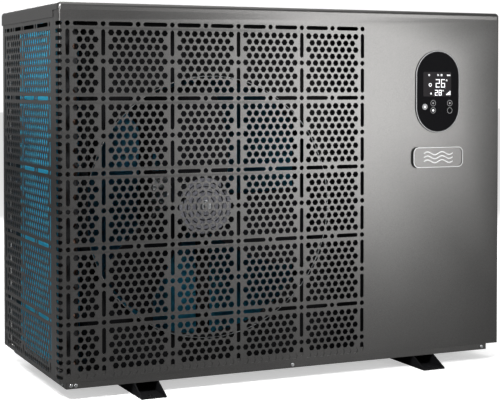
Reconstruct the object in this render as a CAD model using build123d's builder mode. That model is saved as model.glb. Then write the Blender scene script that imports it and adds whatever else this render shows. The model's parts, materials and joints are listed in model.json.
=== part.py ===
"""Side-discharge pool heat pump: casing, air system, refrigerant circuit, water circuit and electrics.

Millimetres, +Z up, +X to the right seen from the front, the front face looks along -Y.
The origin is on the ground, in the middle of the four anchor bolts in the feet.
"""

import os
from math import cos, radians, sin, tan

from build123d import *

# ---------------------------------------------------------------- driving dimensions
CASE_W = 1042.0  # front panel, outside
CASE_D = 450.0  # front face to rear face
SHEET = 1.2  # casing sheet thickness
BEND_R = 4.0  # outside radius of the casing's bends

FOOT_GAP = 660.0  # between the two feet, centre to centre
FOOT_FROM_LEFT = 182.0  # casing's left side to the left foot's centre
FOOT_H = 24.0
FOOT_W = 54.0
FOOT_OUT = 47.0  # how far a foot reaches past the casing
FOOT_WALL = 2.5
ANCHOR_OUT = 27.0  # anchor hole past the casing
ANCHOR_R = 5.5

BASE_STRIP_H = 13.0  # what shows of the base pan under the front panel
LID_TOP = 795.0
LID_LIP_H = 15.0  # front lip of the top cover
LID_SKIRT_H = 29.0  # side skirt of the top cover
LID_REAR_OUT = 12.0
LID_SIDE_OUT = 1.6
CORNER_FLANGE = 39.0  # how far the front panel wraps round the casing's corners

CELL_W = 148.0  # one field of the perforation
CELL_H = 150.0
HOLE_PITCH = 16.4
ROW_PITCH = 14.4
HOLE_R = 6.4
DOT_R = 5.2
SLOT_W = 8.5
SLOT_END = 11.0  # from a field's corner to the slot's end
TOP_ROW_Z = 753.0  # the topmost row of slots
FIELD_ROWS = (9, 9, 9, 9, 7)  # rows of holes in each field, from the top
TILE_EDGE = 7.2  # from a row of slots to the plain strip beside it
CUT_SLOT = 19.0  # length of the last upright slot, cut short by the panel's bottom
FIRST_COLUMN = 92.0  # casing's left side to the first full column of fields

FAN_Z = 371.0
FAN_FROM_LEFT = 351.0
FAN_TIP_R = 264.0
FAN_RING_R = 277.0
FAN_HUB_R = 64.0
SHAFT_R = 6.0

# ---------------------------------------------------------------- places worked out from them
LEFT = -FOOT_GAP / 2 - FOOT_FROM_LEFT
RIGHT = LEFT + CASE_W
FRONT = -CASE_D / 2
REAR = CASE_D / 2
BASE_Z = FOOT_H
PANEL_Z = BASE_Z + BASE_STRIP_H
PANEL_TOP = LID_TOP - LID_LIP_H
SKIRT_Z = LID_TOP - LID_SKIRT_H
GRID_X = LEFT + FIRST_COLUMN
FAN_X = LEFT + FAN_FROM_LEFT
SIDE_FRONT = FRONT + CORNER_FLANGE  # where the side panels begin

BASE_LEFT = LEFT + 13.0
BASE_RIGHT = RIGHT - 30.0
BASE_FRONT = FRONT + SHEET
BASE_REAR = REAR - 35.0
BASE_FLOOR = BASE_Z + 1.5
BASE_WALL_TOP = 55.0

PARTITION_X = 190.0  # between the fan side and the compressor side
COIL_X = BASE_LEFT + 3.0  # the coil's outer face along the left side
COIL_Y = 149.0  # the coil's inner face along the rear
COIL_THICK = 38.0
REAR_SCREWS = [(x, z) for x in (LEFT + 27, RIGHT - 27) for z in (70, 410, 745)]

os.makedirs("parts", exist_ok=True)


def save(builder, name):
    """Labels a finished piece and writes its STEP file."""
    builder.part.label = name
    export_step(builder.part, f"parts/{name}.step")


def box(x0, x1, y0, y1, z0, z1, mode=Mode.ADD):
    """A box between two corners, in the builder that is open."""
    with Locations(((x0 + x1) / 2, (y0 + y1) / 2, (z0 + z1) / 2)):
        return Box(x1 - x0, y1 - y0, z1 - z0, mode=mode)


def post(x, y, z0, z1, radius, mode=Mode.ADD):
    """An upright cylinder."""
    with Locations((x, y, (z0 + z1) / 2)):
        return Cylinder(radius, z1 - z0, mode=mode)


def bar_x(x0, x1, y, z, radius, mode=Mode.ADD):
    """A cylinder along X."""
    with Locations(Location(((x0 + x1) / 2, y, z), (0, 90, 0))):
        return Cylinder(radius, x1 - x0, mode=mode)


def bar_y(x, y0, y1, z, radius, mode=Mode.ADD):
    """A cylinder along Y."""
    with Locations(Location((x, (y0 + y1) / 2, z), (90, 0, 0))):
        return Cylinder(radius, y1 - y0, mode=mode)


# ---------------------------------------------------------------- perforation
def hole_rows(start, width, first_z, rows):
    """Centres of one field's staggered holes: full rows and rows shifted by half a pitch."""
    across = int((width - 2 * SLOT_END) / HOLE_PITCH) + 1
    margin = (width - (across - 1) * HOLE_PITCH) / 2
    centres = []
    for row in range(rows):
        shifted = row % 2
        for column in range(across - shifted):
            centres.append((start + margin + (column + shifted / 2) * HOLE_PITCH, first_z - row * ROW_PITCH))
    return centres


def half_field_rows(start, first_z, rows):
    """Centres of the half field beside the corner: three holes in every row."""
    margin = (CELL_W - 7 * HOLE_PITCH) / 2
    return [
        (start + margin + (column + (row % 2) / 2) * HOLE_PITCH, first_z - row * ROW_PITCH)
        for row in range(rows)
        for column in range(3)
    ]


def perforation(columns, half_first):
    """Every opening of one face as (kind, x, z). columns are the places of the upright rows of slots.

    A kind is (radius,) for a round hole, or (length, turn) for a slot.
    """
    openings = []
    row_margin = (CELL_H - 8 * ROW_PITCH) / 2
    half_length = CELL_H / 2 - 2 * SLOT_END
    for level, rows in enumerate(FIELD_ROWS):
        top = TOP_ROW_Z - level * CELL_H
        for index, (start, end) in enumerate(zip(columns, columns[1:])):
            width = end - start
            middle = (start + end) / 2
            if half_first and index == 0:
                holes = half_field_rows(start, top - row_margin, rows)
                openings.append(((width - 2 * SLOT_END, 0), middle, top))
            else:
                holes = hole_rows(start, width, top - row_margin, rows)
                openings.append(((DOT_R,), middle, top))
                for x in (middle - width / 4, middle + width / 4):
                    openings.append(((width / 2 - 2 * SLOT_END, 0), x, top))
            openings += [((HOLE_R,), x, z) for x, z in holes]
        for column in columns:
            openings += [((DOT_R,), column, top), ((DOT_R,), column, top - CELL_H / 2)]
            openings.append(((half_length, 90), column, top - CELL_H / 4))
            if rows == FIELD_ROWS[0]:
                openings.append(((half_length, 90), column, top - 3 * CELL_H / 4))
            else:
                openings.append(((CUT_SLOT, 90), column, top - CELL_H / 2 - SLOT_END - CUT_SLOT / 2))
    return openings


def perforated_sheet(plane, x0, x1, z0, z1, columns, half_first):
    """The sheet between x0 and x1 as tiles that meet in the plain strips beside the slots."""
    openings = perforation(columns, half_first)
    x_cuts = [x0] + [column + TILE_EDGE for column in columns if column + TILE_EDGE < x1] + [x1]
    z_cuts = [z1] + [TOP_ROW_Z - level * CELL_H - TILE_EDGE for level in range(len(FIELD_ROWS))] + [z0]
    tiles = []
    for left, right in zip(x_cuts, x_cuts[1:]):
        for high, low in zip(z_cuts, z_cuts[1:]):
            kinds = {}
            for kind, x, z in openings:
                if left < x < right and low < z < high:
                    kinds.setdefault(kind, []).append((x, z))
            with BuildPart() as tile:
                with BuildSketch(plane):
                    outline(left, right, low, high)
                    for kind, places in kinds.items():
                        with Locations(*places):
                            if len(kind) == 1:
                                Circle(kind[0], mode=Mode.SUBTRACT)
                            else:
                                SlotOverall(kind[0], SLOT_W, rotation=kind[1], mode=Mode.SUBTRACT)
                extrude(amount=SHEET, clean=False)
            tiles.append(tile.part)
    return tiles


def outline(x0, x1, z0, z1):
    """A plain rectangle between two corners in the sketch that is open."""
    with Locations(((x0 + x1) / 2, (z0 + z1) / 2)):
        Rectangle(x1 - x0, z1 - z0)


# ---------------------------------------------------------------- display and badge places
DISPLAY_X = GRID_X + 5.3 * CELL_W
DISPLAY_Z = TOP_ROW_Z - 0.925 * CELL_W
DISPLAY_W = 115.0
DISPLAY_H = 185.0
BADGE_Z = TOP_ROW_Z - 1.92 * CELL_W
BADGE_W = 131.0
BADGE_H = 47.0
BADGE_THICK = 6.0


# ---------------------------------------------------------------- feet and base
def foot_rail(name, x):
    """An upward-open channel whose walls slope down to a flat tab at both ends."""
    end = REAR + FOOT_OUT
    with BuildPart() as rail:
        box(x - FOOT_W / 2, x + FOOT_W / 2, -end, end, 0, FOOT_H)
        box(
            x - FOOT_W / 2 + FOOT_WALL, x + FOOT_W / 2 - FOOT_WALL, -end, end, FOOT_WALL, FOOT_H,
            mode=Mode.SUBTRACT,
        )
        with BuildSketch(Plane.YZ.offset(x - FOOT_W)):
            for way in (-1, 1):
                with BuildLine():
                    Polyline(
                        (way * (REAR - 1), FOOT_H + 1), (way * end, FOOT_WALL),
                        (way * (end + 5), FOOT_WALL), (way * (end + 5), FOOT_H + 1), close=True,
                    )
                make_face()
        extrude(amount=2 * FOOT_W, mode=Mode.SUBTRACT)
        lip = 14.0
        for side in (-1, 1):
            outer = x + side * (FOOT_W / 2 - FOOT_WALL)
            inner = outer - side * lip
            box(min(outer, inner), max(outer, inner), BASE_FRONT + 40, BASE_REAR - 10, FOOT_H - FOOT_WALL, FOOT_H)
        with Locations((x, -REAR - ANCHOR_OUT, FOOT_WALL), (x, REAR + ANCHOR_OUT, FOOT_WALL)):
            Hole(ANCHOR_R, depth=FOOT_WALL)
        for side in (-1, 1):
            for y in (-120, 120):
                post(x + side * (FOOT_W / 2 - 9.5), y, FOOT_H - FOOT_WALL, FOOT_H, 3.1, mode=Mode.SUBTRACT)
        tab_corners = rail.edges().filter_by(Axis.Z).group_by(Axis.Y)
        fillet(tab_corners[0] + tab_corners[-1], 1.2)
    save(rail, name)


FOOT_X = (-FOOT_GAP / 2, FOOT_GAP / 2)
FOOT_BOLT_Y = (-120, 120)
DRAIN_X, DRAIN_Y = -162.0, 60.0
DRAIN_R = 9.0
COMPRESSOR_X, COMPRESSOR_Y = 292.0, 70.0
COMPRESSOR_R = 62.0
STUD_CIRCLE_R = 88.0
STUDS = [
    (COMPRESSOR_X + STUD_CIRCLE_R * cos(radians(a)), COMPRESSOR_Y + STUD_CIRCLE_R * sin(radians(a)))
    for a in (90, 210, 330)
]
BASE_SCREW_X = (LEFT + 23.0, LEFT + 33.0, LEFT + 515.0, BASE_RIGHT - 14.0)
BASE_SCREW_Z = PANEL_Z - BASE_STRIP_H / 2
BASE_SCREW_Y = (FRONT + 25.0, BASE_REAR - 14.0)


def foot_bolts():
    """Hexagon bolts that hold the rails under the base pan."""
    with BuildPart() as bolts:
        for foot_x in FOOT_X:
            for side in (-1, 1):
                for y in FOOT_BOLT_Y:
                    x = foot_x + side * (FOOT_W / 2 - 9.5)
                    post(x, y, FOOT_H - FOOT_WALL, BASE_FLOOR + 6, 3.0)
                    with BuildSketch(Plane.XY.offset(FOOT_H - FOOT_WALL - 4.0)):
                        with Locations((x, y)):
                            RegularPolygon(5.6, 6)
                    extrude(amount=4.0)
    save(bolts, "foot_bolts")


def base_pan():
    """The tray under everything, with turned-up walls, a condensate drain and feet bolt holes."""
    with BuildPart() as pan:
        box(BASE_LEFT, BASE_RIGHT, BASE_FRONT, BASE_REAR, BASE_Z, BASE_WALL_TOP)
        fillet(pan.edges().filter_by(Axis.Z), 3.0)
        box(
            BASE_LEFT + 1.5, BASE_RIGHT - 1.5, BASE_FRONT + 1.5, BASE_REAR - 1.5, BASE_FLOOR, BASE_WALL_TOP,
            mode=Mode.SUBTRACT,
        )
        post(DRAIN_X, DRAIN_Y, BASE_Z, BASE_FLOOR, DRAIN_R + 1, mode=Mode.SUBTRACT)
        for x, y in STUDS:
            post(x, y, BASE_Z, BASE_FLOOR, 4.1, mode=Mode.SUBTRACT)
        for foot_x in FOOT_X:
            for side in (-1, 1):
                for y in FOOT_BOLT_Y:
                    post(foot_x + side * (FOOT_W / 2 - 9.5), y, BASE_Z, BASE_FLOOR, 3.1, mode=Mode.SUBTRACT)
        for x in BASE_SCREW_X:
            bar_y(x, BASE_FRONT - 1, BASE_FRONT + 3, BASE_SCREW_Z, 2.1, mode=Mode.SUBTRACT)
        for y in BASE_SCREW_Y:
            bar_x(BASE_LEFT - 1, BASE_LEFT + 3, y, BASE_SCREW_Z, 2.1, mode=Mode.SUBTRACT)
        for x in (-330, 0):
            with BuildSketch(Plane.XY.offset(BASE_FLOOR)):
                with Locations((x, 0)):
                    SlotOverall(240, 30, rotation=90)
            extrude(amount=2.5)
    save(pan, "base_pan")


def pan_screw(x, y, z, facing):
    """A pan-head screw with a cross recess, lying along X or Y, head on the side that it faces."""
    plane = Plane(origin=(x, y, z), z_dir=(facing[0], facing[1], 0))
    with BuildPart() as screw:
        with BuildSketch(plane):
            Circle(4.0)
        extrude(amount=2.4)
        rim = screw.edges().filter_by(GeomType.CIRCLE)
        fillet(rim.sort_by(lambda e: (e.center() - plane.origin).dot(plane.z_dir))[-1], 1.1)
        with BuildSketch(plane.offset(1.2)):
            Rectangle(4.6, 1.0)
            Rectangle(1.0, 4.6)
        extrude(amount=2.0, mode=Mode.SUBTRACT)
        with BuildSketch(plane):
            Circle(2.0)
        extrude(amount=-8.0)
    return screw.part


def case_screws(places):
    """The casing's identical screws share one node: each place is (x, y, z, facing)."""
    with BuildPart() as group:
        for x, y, z, facing in places:
            add(pan_screw(x, y, z, facing))
    save(group, "case_screws")


def condensate_drain():
    """The hose spigot under the base pan."""
    with BuildPart() as drain:
        post(DRAIN_X, DRAIN_Y, 4, BASE_FLOOR + 2, DRAIN_R)
        post(DRAIN_X, DRAIN_Y, BASE_FLOOR, BASE_FLOOR + 2, DRAIN_R + 6)
        post(DRAIN_X, DRAIN_Y, 3, BASE_FLOOR + 3, DRAIN_R - 2, mode=Mode.SUBTRACT)
    save(drain, "condensate_drain")


# ---------------------------------------------------------------- casing panels
def front_corners():
    """The front sheet's two bent flanges, round the casing's corners, the left one slotted."""
    corner = CORNER_FLANGE - 0.6
    slot_pitch = CELL_H / 10
    slot_side = 24.0
    slot_front = 7.0
    with BuildPart() as wrap:
        for side, edge in ((1, LEFT), (-1, RIGHT)):
            inner = edge + side * SHEET
            with BuildSketch(Plane.XY.offset(PANEL_Z)):
                with BuildLine():
                    Polyline(
                        (edge, FRONT + corner), (edge, FRONT), (edge + side * 2 * BEND_R, FRONT),
                        (edge + side * 2 * BEND_R, FRONT + SHEET), (inner, FRONT + SHEET),
                        (inner, FRONT + corner), close=True,
                    )
                make_face()
                outer_corner = vertices().sort_by_distance((edge, FRONT))[0]
                inner_corner = vertices().sort_by_distance((inner, FRONT + SHEET))[0]
                fillet(outer_corner, BEND_R)
                fillet(inner_corner, BEND_R - SHEET)
            extrude(amount=PANEL_TOP - PANEL_Z)
        levels = [TOP_ROW_Z - n * slot_pitch for n in range(48)]
        with BuildSketch(Plane.YZ.offset(LEFT - 1)):
            with Locations(*[(FRONT + slot_side / 2 - 5, z) for z in levels]):
                SlotOverall(slot_side + 10, SLOT_W)
        extrude(amount=BEND_R + 1, mode=Mode.SUBTRACT)
        with BuildSketch(Plane.XZ.offset(-FRONT + 1)):
            with Locations(*[(LEFT + slot_front / 2 - 5, z) for z in levels]):
                SlotOverall(slot_front + 10, SLOT_W)
        extrude(amount=-BEND_R - 1, mode=Mode.SUBTRACT)
    save(wrap, "front_corners")


def front_panel():
    """The front sheet's face: perforated over the fan, plain over the compressor, with a folded top edge."""
    back = Plane.XZ.offset(-FRONT - SHEET)
    columns = [GRID_X - CELL_W / 2] + [GRID_X + n * CELL_W for n in range(5)]
    plain_x = columns[-1] + TILE_EDGE
    tiles = perforated_sheet(back, LEFT + 2 * BEND_R, plain_x, PANEL_Z, PANEL_TOP, columns, half_first=True)
    with BuildPart() as plain:
        with BuildSketch(back):
            outline(plain_x, RIGHT - 2 * BEND_R, PANEL_Z, PANEL_TOP)
            with Locations((DISPLAY_X, DISPLAY_Z)):
                SlotOverall(DISPLAY_H - 8, DISPLAY_W - 8, rotation=90, mode=Mode.SUBTRACT)
        extrude(amount=SHEET)
    with BuildPart() as fold:
        box(LEFT + 10, RIGHT - 10, FRONT + SHEET, FRONT + 14, PANEL_TOP - SHEET, PANEL_TOP)
    with BuildPart() as panel:
        add(tiles + [plain.part], clean=False)
        add(fold.part, clean=False)
    save(panel, "front_panel")


SIDE_COLUMNS = [FRONT + 66.0, FRONT + 66.0 + 13 * HOLE_PITCH, FRONT + 66.0 + 13 * HOLE_PITCH + CELL_W]


def left_side_panel():
    """The perforated left side, with returns at the rear and the bottom."""
    with BuildPart() as returns:
        box(LEFT + SHEET, LEFT + 16, REAR - SHEET, REAR, PANEL_Z, PANEL_TOP)
        box(LEFT + SHEET, BASE_LEFT, SIDE_FRONT, REAR - SHEET, PANEL_Z, PANEL_Z + SHEET)
    with BuildPart() as panel:
        add(
            perforated_sheet(
                Plane.YZ.offset(LEFT), SIDE_FRONT, REAR, PANEL_Z, PANEL_TOP, SIDE_COLUMNS, half_first=False,
            ),
            clean=False,
        )
        add(returns.part, clean=False)
    save(panel, "left_side_panel")


# ---------------------------------------------------------------- water side places
PORT_Y = -50.0
PORT_Z = (130.0, 430.0)  # inlet below, outlet above
PORT_HOLE_R = 35.5
GLAND_Y = (120.0, 160.0)
GLAND_Z = 560.0
GLAND_R = (7.0, 4.5)
COVER_Y = (60.0, 190.0)
COVER_Z = (590.0, 720.0)


def right_side_panel():
    """The plain service side, with louvres, two water ports, two gland holes and the wiring window."""
    with BuildPart() as panel:
        with BuildSketch(Plane.YZ.offset(RIGHT - SHEET)):
            outline(SIDE_FRONT, REAR, PANEL_Z, PANEL_TOP)
            with Locations(*[(PORT_Y, z) for z in PORT_Z]):
                Circle(PORT_HOLE_R, mode=Mode.SUBTRACT)
            for y, bore in zip(GLAND_Y, GLAND_R):
                with Locations((y, GLAND_Z)):
                    Circle(bore + 3.2, mode=Mode.SUBTRACT)
            with Locations(((COVER_Y[0] + COVER_Y[1]) / 2, (COVER_Z[0] + COVER_Z[1]) / 2)):
                RectangleRounded(COVER_Y[1] - COVER_Y[0] - 30, COVER_Z[1] - COVER_Z[0] - 30, 8, mode=Mode.SUBTRACT)
            with Locations(*[(120.0, 110.0 + 16 * n) for n in range(14)]):
                SlotOverall(120, 6, mode=Mode.SUBTRACT)
        extrude(amount=SHEET)
        box(RIGHT - 16, RIGHT - SHEET, REAR - SHEET, REAR, PANEL_Z, PANEL_TOP)
        box(BASE_RIGHT, RIGHT - SHEET, SIDE_FRONT, REAR - SHEET, PANEL_Z, PANEL_Z + SHEET)
    save(panel, "right_side_panel")


def rear_panel():
    """The rear frame: plain behind the compressor, with a window behind the coil."""
    gap = 16.5
    with BuildPart() as panel:
        with BuildSketch(Plane.XZ.offset(-REAR)):
            outline(LEFT + gap, RIGHT - gap, PANEL_Z, LID_TOP - SHEET)
            with Locations(*REAR_SCREWS):
                Circle(2.1, mode=Mode.SUBTRACT)
            with Locations(((LEFT + 46 + PARTITION_X) / 2, (60 + 745) / 2)):
                RectangleRounded(PARTITION_X - LEFT - 46, 745 - 60, 10, mode=Mode.SUBTRACT)
            with Locations(*[(360, 500 + 16 * n) for n in range(10)]):
                SlotOverall(200, 6, mode=Mode.SUBTRACT)
        extrude(amount=SHEET)
        box(LEFT + gap, BASE_RIGHT - 0.5, BASE_REAR, REAR - SHEET, PANEL_Z, PANEL_Z + SHEET)
    save(panel, "rear_panel")


def coil_guard():
    """A moulded grid over the rear window that keeps hands and leaves off the fins."""
    x0, x1, z0, z1 = LEFT + 40, PARTITION_X + 6, 54.0, 751.0
    with BuildPart() as guard:
        with BuildSketch(Plane.XZ.offset(-REAR + SHEET + 3.0)):
            outline(x0, x1, z0, z1)
            with Locations(((x0 + x1) / 2, (z0 + z1) / 2)):
                with GridLocations(109, 34, 6, 20):
                    Rectangle(104, 29, mode=Mode.SUBTRACT)
        extrude(amount=-3.0, clean=False)
    save(guard, "coil_guard")


def top_cover():
    """The lid: a rounded tray with a short front lip and deeper side and rear skirts."""
    x0, x1 = LEFT - LID_SIDE_OUT, RIGHT + LID_SIDE_OUT
    y0, y1 = FRONT, REAR + LID_REAR_OUT
    round_r = 8.0
    with BuildPart() as hollow:
        box(x0 + SHEET, x1 - SHEET, y0 + SHEET, y1 - SHEET, SKIRT_Z - 1, LID_TOP - SHEET)
        fillet(hollow.edges().filter_by(Axis.Z), round_r - SHEET)
        fillet(hollow.faces().sort_by(Axis.Z)[-1].edges(), round_r - SHEET)
    with BuildPart() as cover:
        box(x0, x1, y0, y1, SKIRT_Z, LID_TOP)
        fillet(cover.edges().filter_by(Axis.Z), round_r)
        fillet(cover.faces().sort_by(Axis.Z)[-1].edges(), round_r)
        add(hollow.part, mode=Mode.SUBTRACT)
        box(x0 - 1, x1 + 1, y0 - 1, SIDE_FRONT, SKIRT_Z - 1, PANEL_TOP, mode=Mode.SUBTRACT)
    save(cover, "top_cover")


def partition():
    """The plate that shuts the fan side off from the compressor side."""
    with BuildPart() as plate:
        box(PARTITION_X, PARTITION_X + SHEET, BASE_FRONT + 4, COIL_Y - 3, BASE_FLOOR, LID_TOP - SHEET)
        box(PARTITION_X + SHEET, PARTITION_X + 12, BASE_FRONT + 4, COIL_Y - 3, BASE_FLOOR, BASE_FLOOR + SHEET)
        box(
            PARTITION_X - 1, PARTITION_X + 2, BASE_FRONT, FRONT + 14.5, PANEL_TOP - SHEET - 0.5, LID_TOP,
            mode=Mode.SUBTRACT,
        )
        box(PARTITION_X - 2, PARTITION_X + 4, -60, 60, 620, 700, mode=Mode.SUBTRACT)
    save(plate, "partition_plate")


# ---------------------------------------------------------------- evaporator coil
COIL_END_X = 186.0
COIL_FRONT_Y = -165.0
COIL_TOP = 750.0
END_PLATE = 1.2
TUBE_R = 4.0
TUBE_PITCH = 25.0


def evaporator_coil():
    """The fin block: one leg along the left side, one along the rear, joined by a bend."""
    inner_x = COIL_X + COIL_THICK
    outer_y = COIL_Y + COIL_THICK
    with BuildPart() as coil:
        with BuildSketch(Plane.XY.offset(BASE_FLOOR)):
            with BuildLine():
                Polyline(
                    (COIL_X, COIL_FRONT_Y), (inner_x, COIL_FRONT_Y), (inner_x, COIL_Y),
                    (COIL_END_X, COIL_Y), (COIL_END_X, outer_y), (COIL_X, outer_y), close=True,
                )
            make_face()
            fillet(vertices().sort_by_distance((inner_x, COIL_Y))[0], 22)
            fillet(vertices().sort_by_distance((COIL_X, outer_y))[0], 60)
        extrude(amount=COIL_TOP - BASE_FLOOR)
    save(coil, "evaporator_coil")


def coil_end_plates():
    """Galvanised plates that close the fin block's two ends."""
    inner_x = COIL_X + COIL_THICK
    outer_y = COIL_Y + COIL_THICK
    with BuildPart() as plates:
        box(COIL_X - 1, inner_x + 2, COIL_FRONT_Y - END_PLATE, COIL_FRONT_Y, BASE_FLOOR, COIL_TOP + 2)
        box(COIL_END_X, COIL_END_X + END_PLATE, COIL_Y - 2, outer_y + 1, BASE_FLOOR, COIL_TOP + 2)
    save(plates, "coil_end_plates")


def return_bends():
    """Half-turn copper bends that join the tubes, two rows at each end of the block."""
    radius = TUBE_PITCH / 2
    with BuildPart() as bend:
        with Locations(Location((0, 0, 0), (0, 90, 0))):
            Torus(radius, TUBE_R)
        box(-20, 20, 0, 40, -40, 40, mode=Mode.SUBTRACT)
    front_y = COIL_FRONT_Y - END_PLATE
    side_x = COIL_END_X + END_PLATE
    levels = [BASE_FLOOR + 30 + n * 2 * TUBE_PITCH for n in range(14)]
    with BuildPart() as bends:
        for row in (9, 29):
            for z in levels:
                with Locations(Location((COIL_X + row, front_y, z))):
                    add(bend.part)
                with Locations(Location((side_x, COIL_Y + row, z), (0, 0, 90))):
                    add(bend.part)
    save(bends, "return_bends")


HEADER_X, HEADER_Y = 212.0, COIL_Y + 19.0


def coil_header():
    """The gas header that gathers the coil's circuits."""
    with BuildPart() as header:
        post(HEADER_X, HEADER_Y, 110, 660, 8)
        fillet(header.edges(), 3)
        for n in range(6):
            bar_x(COIL_END_X + END_PLATE, HEADER_X, HEADER_Y, 140 + 98 * n, 3)
    save(header, "coil_header")
    return header.part


# ---------------------------------------------------------------- air system
SHROUD_Y = FRONT + 90.0
RING_WALL = 2.5
SHROUD_LEFT = FAN_X - FAN_RING_R - 5.0
MOTOR_FRONT = -45.0
MOTOR_REAR = 45.0
MOTOR_R = 58.0
ROTOR_Y = -98.0


def fan_shroud():
    """The plate with the fan's orifice ring; its left edge is folded forward."""
    with BuildPart() as shroud:
        box(SHROUD_LEFT, PARTITION_X, SHROUD_Y - SHEET, SHROUD_Y, BASE_FLOOR, 760)
        box(SHROUD_LEFT, SHROUD_LEFT + SHEET, SHROUD_Y - 55, SHROUD_Y, 60, 760)
        box(SHROUD_LEFT, PARTITION_X, SHROUD_Y - 30, SHROUD_Y, 760 - SHEET, 760)
        bar_y(FAN_X, SHROUD_Y - 30, SHROUD_Y + 20, FAN_Z, FAN_RING_R + RING_WALL)
        bar_y(FAN_X, SHROUD_Y - 31, SHROUD_Y + 21, FAN_Z, FAN_RING_R, mode=Mode.SUBTRACT)
    save(shroud, "fan_shroud")


def fan_rotor():
    """Three swept blades on a cup-shaped hub."""
    blade_thick = 3.4
    sections = ((30, 120, 40), (110, 160, 34), (200, 205, 27), (300, 240, 21))
    with BuildPart() as blade:
        for reach, chord, pitch in sections:
            lean = Vector(-sin(radians(reach / 12)), 0, 0) * reach
            place = Plane(origin=(lean.X, 0, reach), x_dir=(1, 0, 0), z_dir=(0, 0, 1)).rotated((0, 0, -pitch))
            with BuildSketch(place):
                RectangleRounded(chord, blade_thick, 1.5)
        loft()
        with Locations(Location((0, 0, 0), (90, 0, 0))):
            Cylinder(FAN_TIP_R, 200, mode=Mode.INTERSECT)
    with BuildPart() as rotor:
        for turn in (0, 120, 240):
            with Locations(Location((0, 0, 0), (0, turn, 0))):
                add(blade.part)
        bar_y(0, -30, 32, 0, FAN_HUB_R)
        bar_y(0, -24, 33, 0, FAN_HUB_R - 4, mode=Mode.SUBTRACT)
        bar_y(0, -30, 30, 0, 16)
        for turn in range(6):
            with Locations(Location((0, 0, 0), (0, 60 * turn, 0))):
                with Locations((0, 2, 38)):
                    Box(2.5, 56, 46)
        bar_y(0, -31, 34, 0, SHAFT_R + 0.02, mode=Mode.SUBTRACT)
    with BuildPart() as placed:
        with Locations((FAN_X, ROTOR_Y, FAN_Z)):
            add(rotor.part)
    save(placed, "fan_rotor")


def fan_fixings():
    """The motor's shaft and the nut with its washer that holds the rotor on it."""
    with BuildPart() as shaft:
        bar_y(FAN_X, ROTOR_Y - 46, MOTOR_FRONT + 30, FAN_Z, SHAFT_R)
    save(shaft, "motor_shaft")
    with BuildPart() as nut:
        with BuildSketch(Plane(origin=(FAN_X, ROTOR_Y - 33, FAN_Z), z_dir=(0, -1, 0))):
            RegularPolygon(11, 6)
        extrude(amount=9)
        bar_y(FAN_X, ROTOR_Y - 33, ROTOR_Y - 30, FAN_Z, 14)
        bar_y(FAN_X, ROTOR_Y - 43, ROTOR_Y - 29, FAN_Z, SHAFT_R + 0.02, mode=Mode.SUBTRACT)
    save(nut, "fan_nut")


MOTOR_BOLTS = [(FAN_X + sx * 48.0, FAN_Z + sz * 48.0) for sx in (-1, 1) for sz in (-1, 1)]


def fan_motor():
    """The brushless motor: a ribbed can with a bearing boss and four ears at the rear."""
    with BuildPart() as motor:
        bar_y(FAN_X, MOTOR_FRONT, MOTOR_REAR, FAN_Z, MOTOR_R)
        fillet(motor.edges().group_by(Axis.Y)[0], 8)
        bar_y(FAN_X, MOTOR_FRONT - 6, MOTOR_FRONT, FAN_Z, 15)
        with BuildSketch(Plane.XZ.offset(-MOTOR_REAR)):
            with Locations(*MOTOR_BOLTS):
                Circle(9)
            make_hull()
        extrude(amount=5)
        for n in range(24):
            with Locations(Location((FAN_X, 0, FAN_Z), (0, 15 * n, 0))):
                with Locations((0, 8, MOTOR_R + 1)):
                    Box(2.2, 56, 6)
        for x, z in MOTOR_BOLTS:
            bar_y(x, MOTOR_REAR - 6, MOTOR_REAR + 1, z, 3.1, mode=Mode.SUBTRACT)
        bar_y(FAN_X, MOTOR_FRONT - 7, MOTOR_FRONT + 31, FAN_Z, SHAFT_R + 0.06, mode=Mode.SUBTRACT)
    save(motor, "fan_motor")


def motor_bracket():
    """Two upright channels standing in the base pan, with a cross plate for the motor."""
    y0, y1 = MOTOR_REAR, MOTOR_REAR + 1.5
    with BuildPart() as bracket:
        for side in (-1, 1):
            x = FAN_X + side * 69
            box(x - 14, x + 14, y0, y1, BASE_FLOOR, 757)
            box(x - 14, x - 12.5, y0, y0 + 16, BASE_FLOOR, 757)
            box(x + 12.5, x + 14, y0, y0 + 16, BASE_FLOOR, 757)
            box(x - 14, x + 14, y0, y0 + 40, BASE_FLOOR, BASE_FLOOR + 1.5)
        box(FAN_X - 70, FAN_X + 70, y0, y1, FAN_Z - 66, FAN_Z + 66)
        box(FAN_X - 70, FAN_X + 70, y0, y1, 740, 757)
        bar_y(FAN_X, y0 - 1, y1 + 1, FAN_Z, 30, mode=Mode.SUBTRACT)
        for x, z in MOTOR_BOLTS:
            bar_y(x, y0 - 1, y1 + 1, z, 3.1, mode=Mode.SUBTRACT)
    save(bracket, "motor_bracket")


def motor_bolts():
    """Four hexagon bolts through the bracket into the motor's ears."""
    with BuildPart() as bolts:
        for x, z in MOTOR_BOLTS:
            bar_y(x, MOTOR_REAR - 5, MOTOR_REAR + 1.5, z, 3.0)
            with BuildSketch(Plane.XZ.offset(-MOTOR_REAR - 1.5 - 4)):
                with Locations((x, z)):
                    RegularPolygon(5.8, 6)
            extrude(amount=4)
    save(bolts, "motor_bolts")


# ---------------------------------------------------------------- refrigerant circuit
PLATE_Z = 50.0
PLATE_THICK = 4.0
COMPRESSOR_TOP = 340.0
ACCUMULATOR_X, ACCUMULATOR_Y = COMPRESSOR_X + 20, COMPRESSOR_Y + 102
ACCUMULATOR_Z = (90.0, 290.0)
VALVE_Y = COMPRESSOR_Y - 10
VALVE_Z = 430.0
EXPANSION_X, EXPANSION_Y = 230.0, PORT_Y


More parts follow.
